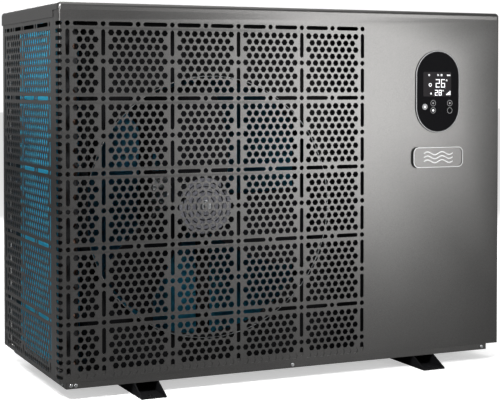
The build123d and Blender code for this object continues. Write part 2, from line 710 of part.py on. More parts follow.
def compressor():
    """The welded rotary compressor on its three-eared plate."""
    with BuildPart() as body:
        post(COMPRESSOR_X, COMPRESSOR_Y, PLATE_Z + PLATE_THICK + 2, COMPRESSOR_TOP, COMPRESSOR_R)
        fillet(body.edges().group_by(Axis.Z)[-1], 28)
        fillet(body.edges().group_by(Axis.Z)[0], 14)
        with BuildSketch(Plane.XY.offset(PLATE_Z)):
            with Locations(*STUDS):
                Circle(16)
            make_hull()
        extrude(amount=PLATE_THICK)
        post(COMPRESSOR_X, COMPRESSOR_Y, PLATE_Z, PLATE_Z + 10, 46)
        for x, y in STUDS:
            post(x, y, PLATE_Z - 1, PLATE_Z + PLATE_THICK + 1, 4.4, mode=Mode.SUBTRACT)
    save(body, "compressor")
    return body.part


def compressor_mounts():
    """Rubber grommets between the pan and the plate, and the bolts with nuts through them."""
    with BuildPart() as grommets:
        for x, y in STUDS:
            post(x, y, BASE_FLOOR, PLATE_Z, 12)
            post(x, y, BASE_FLOOR - 1, PLATE_Z + 1, 4.4, mode=Mode.SUBTRACT)
    save(grommets, "compressor_grommets")
    with BuildPart() as bolts:
        for x, y in STUDS:
            post(x, y, 19, PLATE_Z + PLATE_THICK + 12, 4.0)
            post(x, y, PLATE_Z + PLATE_THICK, PLATE_Z + PLATE_THICK + 1.5, 10)
            with BuildSketch(Plane.XY.offset(PLATE_Z + PLATE_THICK + 1.5), Plane.XY.offset(18)):
                with Locations((x, y)):
                    RegularPolygon(7.5, 6)
            extrude(amount=6)
    save(bolts, "compressor_bolts")


def accumulator():
    """The suction accumulator strapped beside the compressor."""
    low, high = ACCUMULATOR_Z
    with BuildPart() as tank:
        post(ACCUMULATOR_X, ACCUMULATOR_Y, low, high, 27)
        fillet(tank.edges().group_by(Axis.Z)[-1], 14)
        fillet(tank.edges().group_by(Axis.Z)[0], 14)
    save(tank, "suction_accumulator")
    return tank.part


def four_way_valve():
    """The reversing valve: a horizontal body with one pipe stub above and three below."""
    with BuildPart() as valve:
        bar_x(COMPRESSOR_X - 52, COMPRESSOR_X + 52, VALVE_Y, VALVE_Z, 13)
        fillet(valve.edges(), 4)
        post(COMPRESSOR_X, VALVE_Y, VALVE_Z, VALVE_Z + 28, 7)
        for step in (-30, 0, 30):
            post(COMPRESSOR_X + step, VALVE_Y, VALVE_Z - 25, VALVE_Z, 7.5)
        bar_y(COMPRESSOR_X + 20, VALVE_Y - 30, VALVE_Y, VALVE_Z, 5)
        box(COMPRESSOR_X + 6, COMPRESSOR_X + 34, VALVE_Y - 52, VALVE_Y - 26, VALVE_Z - 15, VALVE_Z + 15)
    save(valve, "four_way_valve")
    return valve.part


def expansion_valve():
    """The electronic expansion valve with its stepper coil on top."""
    with BuildPart() as valve:
        post(EXPANSION_X, EXPANSION_Y, 285, 330, 10)
        post(EXPANSION_X, EXPANSION_Y, 330, 366, 21)
        fillet(valve.edges().group_by(Axis.Z)[-1], 5)
        post(EXPANSION_X, EXPANSION_Y, 366, 376, 7)
        bar_y(EXPANSION_X, EXPANSION_Y, EXPANSION_Y + 20, 305, 6)
    save(valve, "expansion_valve")
    return valve.part


def pipe(name, points, radius, bend, trims=(), beside=()):
    """A bent copper pipe along the points, cut back where it meets the pieces in trims.

    The finished pipes in beside share its node as separate solids. A pipe without a name isn't written.
    """
    with BuildPart() as run:
        with BuildLine():
            path = FilletPolyline(*points, radius=bend)
        with BuildSketch(Plane(origin=path @ 0, z_dir=path % 0)):
            Circle(radius)
        sweep()
        for piece in trims:
            add(piece, mode=Mode.SUBTRACT)
        for other in beside:
            add(other)
    if name:
        save(run, name)
    return run.part


# ---------------------------------------------------------------- water circuit
SHELL_X = 395.0
SHELL_R = 62.0
SHELL_WALL = 5.0
SHELL_Z = (75.0, 480.0)
WATER_R = 20.0
BOSS_END = 470.0
THREAD_R = 34.0
PORT_END = RIGHT + 26.0
TAIL_R = 30.0
TAIL_END = PORT_END + 56.0
SOCKET_R = 25.1
SOCKET_DEPTH = 40.0
NUT_R = 43.0
NUT_CLEARANCE = 0.08
SWITCH_X = 494.0
PADDLE_Z = PORT_Z[1] + 25.0


def exchanger_shell():
    """The upright plastic shell round the titanium coil, hollow, with two water bosses."""
    low, high = SHELL_Z
    with BuildPart() as shell:
        post(SHELL_X, PORT_Y, low, high, SHELL_R)
        fillet(shell.edges().group_by(Axis.Z)[-1], 6)
        for z in (low + 24, high - 32):
            post(SHELL_X, PORT_Y, z, z + 8, SHELL_R + 4)
        for z in PORT_Z:
            bar_x(SHELL_X, BOSS_END, PORT_Y, z, 30)
        post(SHELL_X, PORT_Y, low + SHELL_WALL, high - SHELL_WALL, SHELL_R - SHELL_WALL, mode=Mode.SUBTRACT)
        for z in PORT_Z:
            bar_x(SHELL_X, BOSS_END + 1, PORT_Y, z, WATER_R, mode=Mode.SUBTRACT)
    save(shell, "exchanger_shell")
    return shell.part


def titanium_coil():
    """The coiled refrigerant tube inside the shell, with straight ends to the shell's caps."""
    coil_r = 42.0
    low, high = SHELL_Z[0] + SHELL_WALL, SHELL_Z[1] - SHELL_WALL
    start, turns, pitch = low + 25, 14, 24.0
    with BuildPart() as coil:
        with BuildLine():
            path = Helix(pitch, turns * pitch, coil_r, center=(SHELL_X, PORT_Y, start))
        with BuildSketch(Plane(origin=path @ 0, z_dir=path % 0)):
            Circle(5.5)
        sweep(is_frenet=True)
        post(SHELL_X + coil_r, PORT_Y, low, start, 5.5)
        post(SHELL_X + coil_r, PORT_Y, start + turns * pitch, high, 5.5)
    save(coil, "titanium_coil")


def exchanger_stand():
    """The bent bracket that carries the shell over the base pan."""
    low = SHELL_Z[0]
    with BuildPart() as stand:
        box(SHELL_X - 22, SHELL_X + 60, PORT_Y - 40, PORT_Y + 40, low - 2, low)
        box(SHELL_X - 22, SHELL_X - 20, PORT_Y - 40, PORT_Y + 40, BASE_FLOOR, low)
        box(SHELL_X + 58, SHELL_X + 60, PORT_Y - 40, PORT_Y + 40, BASE_FLOOR, low)
        box(SHELL_X + 58, SHELL_X + 78, PORT_Y - 40, PORT_Y + 40, BASE_FLOOR, BASE_FLOOR + 2)
    save(stand, "exchanger_stand")


def water_port(name, z, with_switch):
    """The fixed threaded port between the shell and the service side; the upper one carries the flow switch."""
    with BuildPart() as port:
        bar_x(BOSS_END, PORT_END, PORT_Y, z, 27)
        bar_x(RIGHT + 4, PORT_END, PORT_Y, z, THREAD_R)
        bar_x(RIGHT - SHEET - 10, RIGHT - SHEET, PORT_Y, z, 42)
        bar_x(RIGHT - SHEET - 10, RIGHT + 4, PORT_Y, z, THREAD_R)
        if with_switch:
            post(SWITCH_X, PORT_Y, z, z + 42, 14)
        bar_x(BOSS_END - 1, PORT_END + 1, PORT_Y, z, WATER_R, mode=Mode.SUBTRACT)
        if with_switch:
            post(SWITCH_X, PORT_Y, z, z + 43, 10, mode=Mode.SUBTRACT)
    save(port, name)


def flow_switch():
    """The switch on the outlet port, and the paddle that hangs from its pin into the water."""
    seat = PORT_Z[1] + 42.0
    with BuildPart() as switch:
        post(SWITCH_X, PORT_Y, seat, seat + 8, 15)
        post(SWITCH_X, PORT_Y, seat - 6, seat, 9.6)
        box(SWITCH_X - 15, SWITCH_X + 15, PORT_Y - 20, PORT_Y + 20, seat + 8, seat + 44)
        fillet(switch.edges().filter_by(Axis.Z).group_by(Axis.Z)[-1], 3)
        for side in (-1, 1):
            middle = PORT_Y + side * 4.5
            box(SWITCH_X - 3, SWITCH_X + 3, middle - 1, middle + 1, PADDLE_Z - 3, seat - 6)
        bar_y(SWITCH_X, PORT_Y - 5.5, PORT_Y + 5.5, PADDLE_Z, 1.2)
    save(switch, "flow_switch")
    with BuildPart() as paddle:
        bar_y(SWITCH_X, PORT_Y - 3, PORT_Y + 3, PADDLE_Z, 2.8)
        box(SWITCH_X - 0.8, SWITCH_X + 0.8, PORT_Y - 3, PORT_Y + 3, PORT_Z[1] + 4, PADDLE_Z - 1.5)
        box(SWITCH_X - 0.8, SWITCH_X + 0.8, PORT_Y - 8, PORT_Y + 8, PORT_Z[1] - 12, PORT_Z[1] + 6)
        bar_y(SWITCH_X, PORT_Y - 6, PORT_Y + 6, PADDLE_Z, 1.25, mode=Mode.SUBTRACT)
    save(paddle, "flow_paddle")


def tailpieces():
    """The two tailpieces that the pool pipes are glued into."""
    with BuildPart() as tails:
        for z in PORT_Z:
            bar_x(PORT_END, PORT_END + 6, PORT_Y, z, THREAD_R)
            bar_x(PORT_END + 6, TAIL_END, PORT_Y, z, TAIL_R)
            bar_x(PORT_END - 1, TAIL_END + 1, PORT_Y, z, WATER_R, mode=Mode.SUBTRACT)
            bar_x(TAIL_END - SOCKET_DEPTH, TAIL_END + 1, PORT_Y, z, SOCKET_R, mode=Mode.SUBTRACT)
    save(tails, "union_tailpieces")


def union_nut(name, z):
    """The ribbed nut that turns on a tailpiece and pulls it against its port."""
    start, end = PORT_END - 16, PORT_END + 22
    with BuildPart() as nut:
        bar_x(start, end, PORT_Y, z, NUT_R - 3)
        for n in range(12):
            with Locations(Location(((start + end) / 2, PORT_Y, z), (30 * n, 0, 0))):
                with Locations((0, 0, NUT_R - 3)):
                    Box(end - start, 8, 6)
        bar_x(start - 1, PORT_END + 6.5, PORT_Y, z, THREAD_R + 0.5, mode=Mode.SUBTRACT)
        bar_x(PORT_END + 6, end + 1, PORT_Y, z, TAIL_R + NUT_CLEARANCE, mode=Mode.SUBTRACT)
    save(nut, name)


# ---------------------------------------------------------------- electrics
CONTROL = (200.0, 470.0, -190.0, 50.0, 560.0, 740.0)


def control_box():
    """The sheet tray that holds the inverter, hung from the partition, and its flat cover."""
    x0, x1, y0, y1, z0, z1 = CONTROL
    with BuildPart() as tray:
        box(x0, x1, y0, y1, z0, z1)
        box(x0 + SHEET, x1 - SHEET, y0 + SHEET, y1 - SHEET, z0 + SHEET, z1 + 1, mode=Mode.SUBTRACT)
        for start, end in ((y0 + 5, y0 + 90), (y1 - 50, y1 - 5)):
            box(PARTITION_X + SHEET, x0, start, end, z0, z0 + SHEET)
    save(tray, "control_box")
    with BuildPart() as cover:
        box(x0 - 1, x1 + 1, y0 - 1, y1 + 1, z1, z1 + SHEET)
        with BuildSketch(Plane.XY.offset(z1)):
            with Locations(((x0 + x1) / 2, (y0 + y1) / 2)):
                with GridLocations(0, 14, 1, 7):
                    SlotOverall(90, 5)
        extrude(amount=2 * SHEET, mode=Mode.SUBTRACT)
    save(cover, "control_box_cover")


CAPACITORS = [(250.0 + 40 * n, -40.0) for n in range(4)]


def inverter():
    """The inverter board on standoffs, its capacitors, and the heat sink that cools in the fan's air."""
    x0, x1, y0, y1, z0, z1 = CONTROL
    floor = z0 + SHEET
    with BuildPart() as board:
        box(x0 + 16, x1 - 16, y0 + 16, y1 - 16, floor + 12, floor + 14)
        for x in (x0 + 26, x1 - 26):
            for y in (y0 + 26, y1 - 26):
                post(x, y, floor, floor + 12, 3.5)
        box(240, 300, -150, -100, floor + 14, floor + 34)
        box(330, 352, -158, -90, floor + 14, floor + 30)
        box(380, 430, -150, -110, floor + 14, floor + 42)
        post(390, -20, floor + 14, floor + 36, 24)
        post(390, -20, floor + 15, floor + 37, 10, mode=Mode.SUBTRACT)
    save(board, "inverter_board")
    with BuildPart() as capacitors:
        for x, y in CAPACITORS[:3]:
            post(x, y, floor + 14, floor + 62, 15)
        fillet(capacitors.edges().group_by(Axis.Z)[-1], 2)
    save(capacitors, "capacitors")
    with BuildPart() as sink:
        box(x0 - 4, x0, -55, 55, 625, 695)
        for n in range(15):
            y = -52.5 + 7.5 * n
            box(x0 - 42, x0 - 4, y - 1, y + 1, 625, 695)
    save(sink, "heat_sink")


def terminals():
    """The terminal block on its bracket behind the wiring window, and the cover outside."""
    inner = RIGHT - SHEET
    y0, y1 = COVER_Y
    z0, z1 = COVER_Z
    with BuildPart() as plate:
        box(inner - 34, inner - 32.8, y0 + 8, y1 - 8, z0 + 5, z1 - 5)
        box(inner - 34, inner, y0 + 8, y1 - 8, z0 + 5, z0 + 6.2)
        box(inner - 34, inner, y0 + 8, y1 - 8, z1 - 6.2, z1 - 5)
    save(plate, "terminal_bracket")
    with BuildPart() as block:
        box(inner - 32.8, inner - 14, y0 + 20, y1 - 20, 640, 670)
        for n in range(5):
            y = y0 + 29 + n * 18
            box(inner - 20, inner - 13, y - 6.5, y + 6.5, 644, 666, mode=Mode.SUBTRACT)
            bar_x(inner - 20, inner - 17, y, 655, 4)
    save(block, "terminal_block")
    with BuildPart() as cover:
        box(RIGHT, RIGHT + 15, y0, y1, z0, z1)
        fillet(cover.edges().filter_by(Axis.X), 6)
        fillet(cover.faces().sort_by(Axis.X)[-1].edges(), 4)
        box(RIGHT - 1, RIGHT + 13, y0 + 2, y1 - 2, z0 + 2, z1 - 2, mode=Mode.SUBTRACT)
    save(cover, "terminal_cover")


def cable_glands():
    """Two glands through the service side: body, lock nut inside, hexagon and dome nut outside."""
    with BuildPart() as glands:
        for y, bore in zip(GLAND_Y, GLAND_R):
            bar_x(RIGHT - SHEET - 8, RIGHT + 8, y, GLAND_Z, bore + 3)
            with BuildSketch(Plane.YZ.offset(RIGHT - SHEET - 6), Plane.YZ.offset(RIGHT)):
                with Locations((y, GLAND_Z)):
                    RegularPolygon(bore + 7, 6)
            extrude(amount=6)
            bar_x(RIGHT + 6, RIGHT + 26, y, GLAND_Z, bore + 4.5)
            bar_x(RIGHT - 20, RIGHT + 30, y, GLAND_Z, bore, mode=Mode.SUBTRACT)
    save(glands, "cable_glands")


# ---------------------------------------------------------------- display and badge
BEZEL_OUT = 2.5
BEZEL_RIM = 3.0
GLASS_THICK = 1.7


def obround(width, height):
    """An upright obround in the sketch that is open, at the display's place."""
    with Locations((DISPLAY_X, DISPLAY_Z)):
        SlotOverall(height, width, rotation=90)


def display():
    """The touch display: bezel with its cup behind the panel, glass, and the board with the screen."""
    front = FRONT - BEZEL_OUT
    seat = front + GLASS_THICK
    back = FRONT + 21.0
    wall = 1.5
    rim = 2 * BEZEL_RIM
    with BuildPart() as housing:
        with BuildSketch(Plane.XZ.offset(-FRONT)):
            obround(DISPLAY_W, DISPLAY_H)
        extrude(amount=BEZEL_OUT)
        fillet(housing.edges().group_by(Axis.Y)[0], 0.8)
        with BuildSketch(Plane.XZ.offset(-back)):
            obround(DISPLAY_W - 9, DISPLAY_H - 9)
        extrude(amount=back - FRONT)
        with BuildSketch(Plane.XZ.offset(-back + wall)):
            obround(DISPLAY_W - 14, DISPLAY_H - 14)
        extrude(amount=40, mode=Mode.SUBTRACT)
        with BuildSketch(Plane.XZ.offset(-seat)):
            obround(DISPLAY_W - rim, DISPLAY_H - rim)
        extrude(amount=10, mode=Mode.SUBTRACT)
    save(housing, "display_housing")
    with BuildPart() as glass:
        with BuildSketch(Plane.XZ.offset(-seat)):
            obround(DISPLAY_W - rim - 0.6, DISPLAY_H - rim - 0.6)
        extrude(amount=GLASS_THICK - 0.3)
    save(glass, "display_glass")
    with BuildPart() as board:
        x0, x1 = DISPLAY_X - 36, DISPLAY_X + 36
        box(x0, x1, back - 8, back - 6.4, DISPLAY_Z - 60, DISPLAY_Z + 60)
        box(x0 + 4, x1 - 4, seat + 1, back - 8, DISPLAY_Z + 5, DISPLAY_Z + 52)
        for x in (x0 + 6, x1 - 6):
            for z in (DISPLAY_Z - 54, DISPLAY_Z + 54):
                bar_y(x, back - 6.4, back - wall, z, 2.5)
    save(board, "display_board")


def badge():
    """A rounded raised plate with a rim and three wave ribs, no lettering."""
    face = FRONT - BADGE_THICK + 1.2
    with BuildPart() as plate:
        with BuildSketch(Plane.XZ.offset(-FRONT)):
            with Locations((DISPLAY_X, BADGE_Z)):
                RectangleRounded(BADGE_W, BADGE_H, 14)
        extrude(amount=FRONT - face)
        with BuildSketch(Plane.XZ.offset(-face)):
            with Locations((DISPLAY_X, BADGE_Z)):
                RectangleRounded(BADGE_W, BADGE_H, 14)
                RectangleRounded(BADGE_W - 7, BADGE_H - 7, 10.5, mode=Mode.SUBTRACT)
        extrude(amount=1.2)
    save(plate, "badge_plate")


# ---------------------------------------------------------------- build everything
foot_rail("foot_rail_left", FOOT_X[0])
foot_rail("foot_rail_right", FOOT_X[1])
foot_bolts()
base_pan()
condensate_drain()
front_corners()
front_panel()
left_side_panel()
right_side_panel()
rear_panel()
coil_guard()
top_cover()
partition()
case_screws(
    [(x, BASE_FRONT, BASE_SCREW_Z, (0, -1)) for x in BASE_SCREW_X]
    + [(BASE_LEFT, y, BASE_SCREW_Z, (-1, 0)) for y in BASE_SCREW_Y]
    + [(x, REAR, z, (0, 1)) for x, z in REAR_SCREWS]
)

evaporator_coil()
coil_end_plates()
return_bends()
header_part = coil_header()

fan_shroud()
fan_rotor()
fan_fixings()
fan_motor()
motor_bracket()
motor_bolts()

compressor_part = compressor()
compressor_mounts()
accumulator_part = accumulator()
reversing_part = four_way_valve()
expansion_part = expansion_valve()
shell_part = exchanger_shell()
titanium_coil()
exchanger_stand()

top_z = VALVE_Z + 28
low_z = VALVE_Z - 25
run_z = COMPRESSOR_TOP + 45
pipe(
    "discharge_pipe",
    [(COMPRESSOR_X - 17, COMPRESSOR_Y + 30, COMPRESSOR_TOP - 12), (COMPRESSOR_X - 17, COMPRESSOR_Y + 30, top_z + 24),
     (COMPRESSOR_X, VALVE_Y, top_z + 24), (COMPRESSOR_X, VALVE_Y, top_z)],
    5.0, 10.0, [compressor_part],
)
inlet_run = pipe(
    "",
    [(ACCUMULATOR_X, ACCUMULATOR_Y, ACCUMULATOR_Z[0]), (ACCUMULATOR_X, ACCUMULATOR_Y, 74),
     (COMPRESSOR_X + 6, COMPRESSOR_Y + 50, 74)],
    6.5, 9.0, [compressor_part],
)
pipe(
    "suction_pipes",
    [(COMPRESSOR_X, VALVE_Y, low_z), (COMPRESSOR_X, VALVE_Y, run_z),
     (ACCUMULATOR_X, ACCUMULATOR_Y, run_z), (ACCUMULATOR_X, ACCUMULATOR_Y, ACCUMULATOR_Z[1])],
    6.5, 12.0, beside=[inlet_run],
)
pipe(
    "exchanger_gas_pipe",
    [(COMPRESSOR_X + 30, VALVE_Y, low_z), (COMPRESSOR_X + 30, VALVE_Y, run_z), (COMPRESSOR_X + 30, 0, run_z),
     (COMPRESSOR_X + 30, 0, 515), (SHELL_X, PORT_Y, 515), (SHELL_X, PORT_Y, SHELL_Z[1])],
    6.0, 12.0,
)
pipe(
    "coil_gas_pipe",
    [(COMPRESSOR_X - 30, VALVE_Y, low_z), (COMPRESSOR_X - 30, VALVE_Y, run_z), (HEADER_X, HEADER_Y, run_z)],
    6.0, 12.0, [header_part],
)
pipe(
    "exchanger_liquid_pipe",
    [(SHELL_X - 59, PORT_Y, 130), (EXPANSION_X, PORT_Y, 130), (EXPANSION_X, PORT_Y, 285)],
    4.0, 10.0, [shell_part],
)
pipe(
    "coil_liquid_pipe",
    [(EXPANSION_X, EXPANSION_Y + 20, 305), (EXPANSION_X, -10, 305), (208, -10, 305), (208, HEADER_Y - 28, 305),
     (208, HEADER_Y - 28, 80), (208, HEADER_Y, 80), (COIL_END_X + END_PLATE, HEADER_Y, 80)],
    4.0, 8.0,
)

for port_name, port_z, has_switch in (("inlet", PORT_Z[0], False), ("outlet", PORT_Z[1], True)):
    water_port(f"{port_name}_port", port_z, has_switch)
    union_nut(f"{port_name}_union_nut", port_z)
tailpieces()
flow_switch()

control_box()
inverter()
terminals()
cable_glands()
display()
badge()
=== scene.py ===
"""Pool heat pump unit: looks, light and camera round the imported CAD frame.

The scene is in metres. Dimensions here are in millimetres, in the CAD's frame.
"""

import json
from math import cos, pi, radians, sin

import bmesh
import bpy
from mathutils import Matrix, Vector


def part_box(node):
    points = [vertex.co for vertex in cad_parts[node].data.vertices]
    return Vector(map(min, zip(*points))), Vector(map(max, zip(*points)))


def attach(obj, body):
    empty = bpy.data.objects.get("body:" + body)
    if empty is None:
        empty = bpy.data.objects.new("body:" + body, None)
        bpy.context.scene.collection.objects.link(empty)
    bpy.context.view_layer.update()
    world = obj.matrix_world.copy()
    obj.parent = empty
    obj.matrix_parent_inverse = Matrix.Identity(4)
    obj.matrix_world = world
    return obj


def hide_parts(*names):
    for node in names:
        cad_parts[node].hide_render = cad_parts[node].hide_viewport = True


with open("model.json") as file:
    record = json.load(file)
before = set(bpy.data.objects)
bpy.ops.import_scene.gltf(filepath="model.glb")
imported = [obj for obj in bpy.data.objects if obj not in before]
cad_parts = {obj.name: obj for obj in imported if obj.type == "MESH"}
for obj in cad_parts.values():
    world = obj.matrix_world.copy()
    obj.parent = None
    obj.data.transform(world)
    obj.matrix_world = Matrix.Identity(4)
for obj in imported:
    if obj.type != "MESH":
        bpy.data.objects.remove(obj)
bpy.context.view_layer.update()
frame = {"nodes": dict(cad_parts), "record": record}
MM = 0.001

# ---------------------------------------------------------------- the casing's dimensions, millimetres
LEFT, RIGHT = -512.0, 530.0
FRONT, REAR = -225.0, 225.0
SHEET = 1.2
BEND_R = 4.0
PANEL_Z, PANEL_TOP = 37.0, 780.0
CORNER_END = FRONT + 38.4
SIDE_FRONT = FRONT + 39.0
BASE_LEFT = LEFT + 13.0

CELL_W, CELL_H = 148.0, 150.0
TOP_ROW_Z = 753.0
GRID_X = LEFT + 92.0
HOLE_PITCH, ROW_PITCH = 16.4, 14.4
HEX_R = 6.9
DOT_R = 5.2
SLOT_W = 8.5
SLOT_END = 11.0
CUT_SLOT = 19.0
FIELD_ROWS = (9, 9, 9, 9, 7)
HALF_ACROSS = 3
FRONT_COLUMNS = [GRID_X - CELL_W / 2] + [GRID_X + n * CELL_W for n in range(5)]
SIDE_FIRST = FRONT + 66.0
SIDE_COLUMNS = [SIDE_FIRST, SIDE_FIRST + 13 * HOLE_PITCH, SIDE_FIRST + 13 * HOLE_PITCH + CELL_W]
CORNER_SLOTS = 48
DISPLAY_CUT = (177.0, 107.0)

DISPLAY_X = GRID_X + 5.3 * CELL_W
DISPLAY_Z = TOP_ROW_Z - 0.925 * CELL_W
BADGE_Z = TOP_ROW_Z - 1.92 * CELL_W


# ---------------------------------------------------------------- materials
class Nodes:
    """A short way to add and join shader nodes."""

    def __init__(self, tree):
        self.tree = tree

    def add(self, kind, **values):
        node = self.tree.nodes.new(kind)
        for key, value in values.items():
            if hasattr(node, key):
                setattr(node, key, value)
            else:
                node.inputs[key.replace("_", " ")].default_value = value
        return node

    def span(self, from_min, from_max, to_min, to_max):
        """A map from one range of values to another."""
        node = self.add("ShaderNodeMapRange")
        limits = {"From Min": from_min, "From Max": from_max, "To Min": to_min, "To Max": to_max}
        for name, value in limits.items():
            node.inputs[name].default_value = value
        return node

    def join(self, out_node, out_name, in_node, in_name):
        self.tree.links.new(out_node.outputs[out_name], in_node.inputs[in_name])

    def camera_choice(self, others, camera, out):
        """One shader for the camera's own rays and another for all the rest."""
        path = self.add("ShaderNodeLightPath")
        choose = self.add("ShaderNodeMixShader")
        self.join(path, "Is Camera Ray", choose, "Fac")
        self.tree.links.new(others.outputs[0], choose.inputs[1])
        self.tree.links.new(camera.outputs[0], choose.inputs[2])
        self.tree.links.new(choose.outputs[0], out.inputs["Surface"])


NOISE_LOW, NOISE_HIGH = 0.3, 0.7
RELIEF = 0.0002


def principled(material):
    """The material's shader node."""
    return material.node_tree.nodes["Principled BSDF"]


def finish(name, color, rough, metallic=0.0, grain=900.0, fleck=0.12, bump=0.05, wear=0.06, coat=0.0,
           pattern="noise"):
    """A procedural finish: fleck varies the colour finely, wear varies colour and roughness broadly."""
    material = bpy.data.materials.new(name)
    material.use_nodes = True
    n = Nodes(material.node_tree)
    shader = principled(material)
    shader.inputs["Metallic"].default_value = metallic
    if coat:
        shader.inputs["Coat Weight"].default_value = coat
        shader.inputs["Coat Roughness"].default_value = 0.08
    place = n.add("ShaderNodeTexCoord")
    if pattern == "spangle":
        fine = n.add("ShaderNodeTexVoronoi", Scale=grain)
        fine_out = "Color"
    elif pattern == "brushed":
        stretch = n.add("ShaderNodeMapping")
        stretch.inputs["Scale"].default_value = (1.0, 1.0, 0.04)
        n.join(place, "Object", stretch, "Vector")
        fine = n.add("ShaderNodeTexNoise", Scale=grain, Detail=3.0)
        n.join(stretch, "Vector", fine, "Vector")
        fine_out = "Fac"
    else:
        fine = n.add("ShaderNodeTexNoise", Scale=grain, Detail=2.0)
        fine_out = "Fac"
    if pattern != "brushed":
        n.join(place, "Object", fine, "Vector")
    broad = n.add("ShaderNodeTexNoise", Scale=7.0, Detail=4.0)
    n.join(place, "Object", broad, "Vector")

    def tone(factor):
        return tuple(min(1.0, c * factor) for c in color) + (1.0,)

    ramp = n.add("ShaderNodeValToRGB")
    ends = ((NOISE_LOW, 1.0 - fleck), (NOISE_HIGH, 1.0 + fleck))
    for element, (position, factor) in zip(ramp.color_ramp.elements, ends):
        element.position = position
        element.color = tone(factor)
    n.join(fine, fine_out, ramp, "Fac")
    shade = n.span(NOISE_LOW, NOISE_HIGH, 1.0 - wear, 1.0 + wear)
    n.join(broad, "Fac", shade, "Value")
    mixed = n.add("ShaderNodeVectorMath", operation="SCALE")
    n.join(ramp, "Color", mixed, "Vector")
    n.join(shade, "Result", mixed, "Scale")
    n.join(mixed, "Vector", shader, "Base Color")
    gloss = n.span(NOISE_LOW, NOISE_HIGH, rough * (1 - wear), rough * (1 + wear))
    n.join(broad, "Fac", gloss, "Value")
    n.join(gloss, "Result", shader, "Roughness")
    relief = n.add("ShaderNodeBump", Strength=bump, Distance=RELIEF)
    n.join(fine, fine_out, relief, "Height")
    n.join(relief, "Normal", shader, "Normal")
    return material


METAL = 1.0
# name: colour, roughness, metallic, and what differs from a plain fine grain
LOOKS = {
    "casing_paint": ((0.115, 0.113, 0.111), 0.31, 0.9, dict(grain=1500, fleck=0.2, bump=0.08, wear=0.03)),
    "galvanised": ((0.45, 0.47, 0.48), 0.42, 0.9, dict(grain=90, fleck=0.16, pattern="spangle")),
    # the parts' own black, made darker still as painted shade for the inside seen through the grille
    "black_steel": ((0.008, 0.008, 0.009), 0.55, 0.0, dict(grain=700, fleck=0.3, bump=0.15)),
    "black_plastic": ((0.02, 0.02, 0.021), 0.5, 0.0, dict(grain=600, fleck=0.2, bump=0.2)),
    "grey_plastic": ((0.16, 0.165, 0.17), 0.45, 0.0, dict(grain=500, fleck=0.08, bump=0.12)),
    "white_plastic": ((0.8, 0.81, 0.81), 0.3, 0.0, dict(grain=500, fleck=0.03, bump=0.04, coat=0.3)),
    # the fan's own black, made darker still as painted shade for the inside seen through the grille
    "fan_plastic": ((0.010, 0.010, 0.012), 0.45, 0.0, dict(grain=500, fleck=0.15, bump=0.12)),
    "blue_fin": ((0.05, 0.5, 0.72), 0.42, 0.1, dict(grain=260, fleck=0.18, bump=0.2)),
    "copper": ((0.26, 0.13, 0.08), 0.4, METAL, dict(grain=120, fleck=0.14, wear=0.18)),
    "titanium": ((0.36, 0.34, 0.32), 0.36, METAL, dict(grain=200, fleck=0.1, wear=0.12)),
    "steel": ((0.5, 0.51, 0.52), 0.28, METAL, dict(grain=400, fleck=0.1, pattern="brushed")),
    "compressor_paint": ((0.012, 0.012, 0.013), 0.28, 0.0, dict(grain=160, fleck=0.2, bump=0.15, coat=0.4)),
    "rubber": ((0.016, 0.016, 0.016), 0.75, 0.0, dict(grain=400, fleck=0.25, bump=0.3)),
    "aluminium": ((0.6, 0.61, 0.62), 0.34, METAL, dict(grain=500, fleck=0.08, pattern="brushed")),
    "circuit_board": ((0.01, 0.12, 0.05), 0.4, 0.0, dict(grain=260, fleck=0.5, pattern="spangle", coat=0.3)),
    "display_glass": ((0.004, 0.004, 0.005), 0.4, 0.0, dict(grain=300, fleck=0.2, bump=0.01)),
    "bezel_plastic": ((0.05, 0.05, 0.052), 0.25, 0.3, dict(grain=500, fleck=0.05, pattern="brushed")),
    # darkened copies of galvanised and copper: painted shade for the coil's end plates and return bends
    # behind the grille
    "shaded_zinc": ((0.03, 0.03, 0.032), 0.55, 0.5, dict(grain=90, fleck=0.2, pattern="spangle")),
    "shaded_copper": ((0.06, 0.035, 0.025), 0.45, 0.9, dict(grain=120, fleck=0.2, wear=0.2)),
    "bezel_silver": ((0.2, 0.2, 0.205), 0.35, 0.9, dict(grain=500, fleck=0.05)),
    "capacitor_sleeve": ((0.015, 0.015, 0.05), 0.25, 0.0, dict(grain=90, fleck=0.2, coat=0.4)),
}
FINISHES = {name: finish(name, color, rough, metallic, **rest)
            for name, (color, rough, metallic, rest) in LOOKS.items()}

for quiet, level in (("display_glass", 0.03), ("black_steel", 0.12), ("fan_plastic", 0.12)):
    principled(FINISHES[quiet]).inputs["Specular IOR Level"].default_value = level

node_slots = {part["node"]: part["material_slot"] for part in frame["record"]["subparts"]}
# nodes that look different from their material: the coil's end plates and return bends darkened as painted
# shade behind the grille, and the badge in the casing's paint
PAINTED_SHADE_AND_BADGE = {"coil_end_plates": "shaded_zinc", "return_bends": "shaded_copper", "badge_plate": "casing_paint"}
for node, obj in frame["nodes"].items():
    obj.data.materials.clear()
    obj.data.materials.append(FINISHES[PAINTED_SHADE_AND_BADGE.get(node, node_slots[node])])


# ---------------------------------------------------------------- mesh helpers
def place(name, bm, slot, body="casing", stands_for=(), smooth=30.0, material=None):
    """Turns a bmesh in millimetres into a piece that rides on a body."""
    bmesh.ops.scale(bm, vec=(MM, MM, MM), verts=bm.verts)
    mesh = bpy.data.meshes.new(name)
    bm.to_mesh(mesh)
    bm.free()
    if smooth:
        mesh.shade_smooth()
        mesh.set_sharp_from_angle(angle=radians(smooth))
    obj = bpy.data.objects.new(name, mesh)
    bpy.context.scene.collection.objects.link(obj)
    mesh.materials.append(material or FINISHES[slot])
    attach(obj, body)
    if stands_for:
        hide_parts(*stands_for)


def millimetres(node):
    """The two corners of a CAD node's box, in millimetres."""
    return [[c / MM for c in corner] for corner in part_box(node)]


